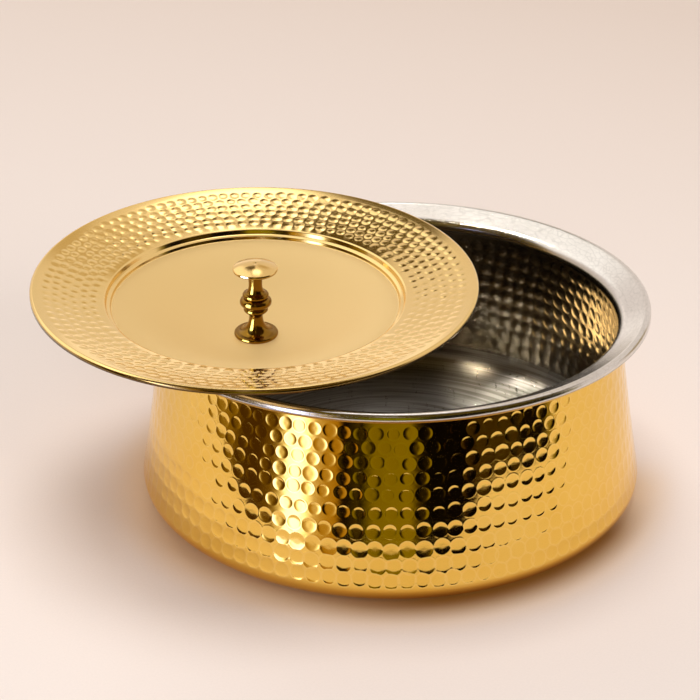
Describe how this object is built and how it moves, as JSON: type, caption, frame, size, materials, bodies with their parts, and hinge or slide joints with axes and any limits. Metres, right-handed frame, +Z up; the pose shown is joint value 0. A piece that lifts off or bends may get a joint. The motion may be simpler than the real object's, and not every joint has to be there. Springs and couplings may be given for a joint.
{
  "type": "covered serving pot",
  "caption": "Round hammered brass serving pot with a leaning wall, a tinned inside and flared rim, and a loose dished lid with a turned knob, set askew on the rim.",
  "frame": {"origin": "centre of the flat base's underside, on the pot's axis", "axes": "+Z up along the pot's axis, -Y towards the front, where the picture was taken from, +X to the right as seen from there"},
  "size_m": [0.3054, 0.26, 0.1282],
  "materials": {
    "hammered_brass": "polished, hammered",
    "tin": "satin tin, brushed floor",
    "lid_brass": "satin polished, hammered band",
    "knob_brass": "polished",
    "screw_steel": "plain",
    "washer_brass": "plain"
  },
  "bodies": {
    "pot": {"pot_shell": "hammered_brass", "tin_lining": "tin"},
    "lid": {"lid_plate": "lid_brass", "lid_knob": "knob_brass", "knob_screw": "screw_steel", "knob_washer": "washer_brass"}
  },
  "joints": [
    {"name": "lid_lift", "type": "slide", "parent": "pot", "child": "lid", "axis": [0, 0, 1], "range_m": [0, 0.15]}
  ]
}
